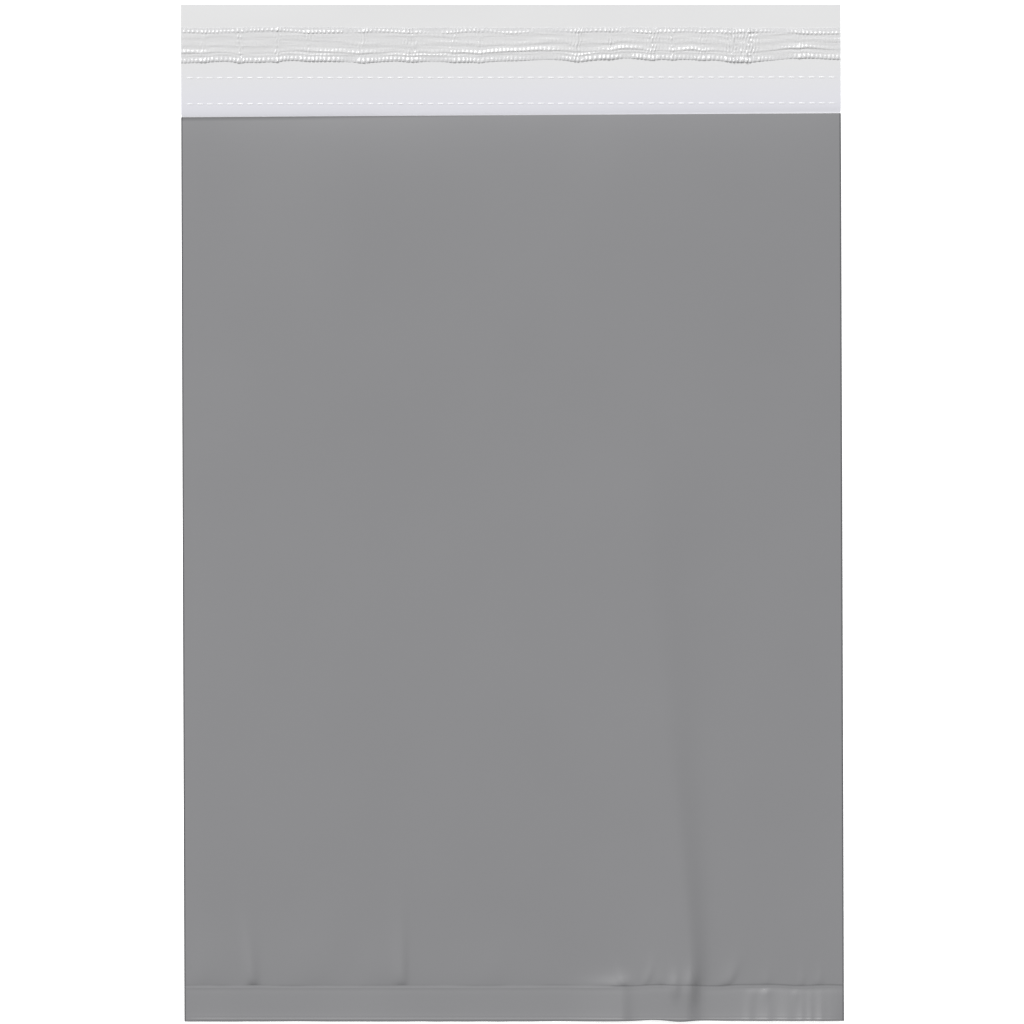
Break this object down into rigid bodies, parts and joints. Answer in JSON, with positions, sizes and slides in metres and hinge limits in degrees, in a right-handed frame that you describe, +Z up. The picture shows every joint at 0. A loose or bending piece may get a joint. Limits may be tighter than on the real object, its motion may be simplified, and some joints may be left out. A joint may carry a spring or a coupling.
{
  "type": "poly mailer bag",
  "caption": "Flat self-seal shipping bag of grey plastic film with a white-lined sealing lip, perforated tear-off strip and covered adhesive band.",
  "frame": {"origin": "middle of the bag's outline, on the surface that it lies on", "axes": "+X across the bag, +Y from the skirt below the weld to the end of the sealing lip, +Z up, out of the front panel"},
  "size_m": [0.254, 0.3916, 0.0054],
  "materials": {
    "grey_film": "satin grey polyethylene film, white on its inner face",
    "hot_melt_adhesive": "tacky, pale, smooth",
    "liner_film": "clear glossy siliconed film, puckered along both edges"
  },
  "bodies": {
    "root": {"film_bag": "grey_film", "adhesive_band": "hot_melt_adhesive", "release_liner": "liner_film"}
  },
  "joints": []
}
